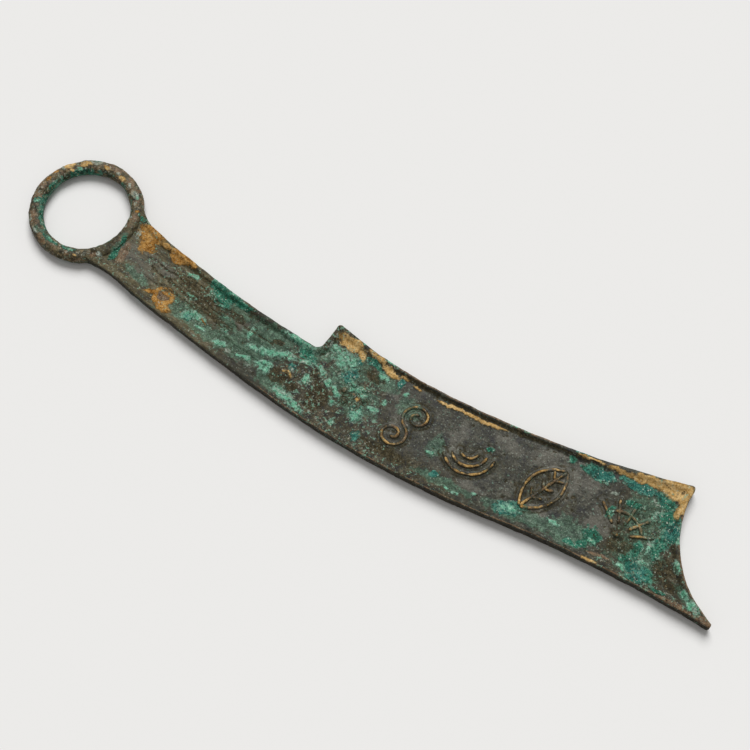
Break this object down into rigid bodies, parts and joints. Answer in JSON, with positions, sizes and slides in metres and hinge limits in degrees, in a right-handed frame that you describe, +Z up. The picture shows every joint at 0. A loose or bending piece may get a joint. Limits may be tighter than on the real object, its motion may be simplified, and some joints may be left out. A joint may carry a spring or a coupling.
{
  "type": "knife-shaped coin",
  "caption": "Flat cast knife-shaped coin with a suspension ring, a ridged grip, a stepped shoulder and a hollow-ended blade inside raised rims.",
  "frame": {"origin": "centre of the bounding box at its bottom, on the reverse rim crests", "axes": "+X from the suspension ring to the point of the blade, +Y to the hollow back of the knife, +Z up out of the obverse"},
  "size_m": [0.185, 0.0324, 0.003],
  "materials": {
    "patinated_bronze": "excavated bronze: dark brown-grey patina with malachite green and ochre earth crusts, dull",
    "worn_relief": "raised strokes of the same casting, rubbed to brown and tan on their crests"
  },
  "bodies": {
    "root": {"suspension_ring": "patinated_bronze", "ring_neck": "patinated_bronze", "grip_plate": "patinated_bronze", "grip_back_rim": "patinated_bronze", "grip_edge_rim": "patinated_bronze", "grip_ridges_obverse": "patinated_bronze", "grip_ridges_reverse": "patinated_bronze", "shoulder_rim": "patinated_bronze", "blade_plate": "patinated_bronze", "blade_back_rim": "patinated_bronze", "blade_edge_rim": "patinated_bronze", "blade_end_rim": "patinated_bronze", "blade_point": "patinated_bronze", "rosette_relief": "worn_relief", "scroll_relief": "worn_relief", "scales_relief": "worn_relief", "leaf_relief": "worn_relief", "fan_relief": "worn_relief", "reverse_bars": "worn_relief"}
  },
  "joints": []
}
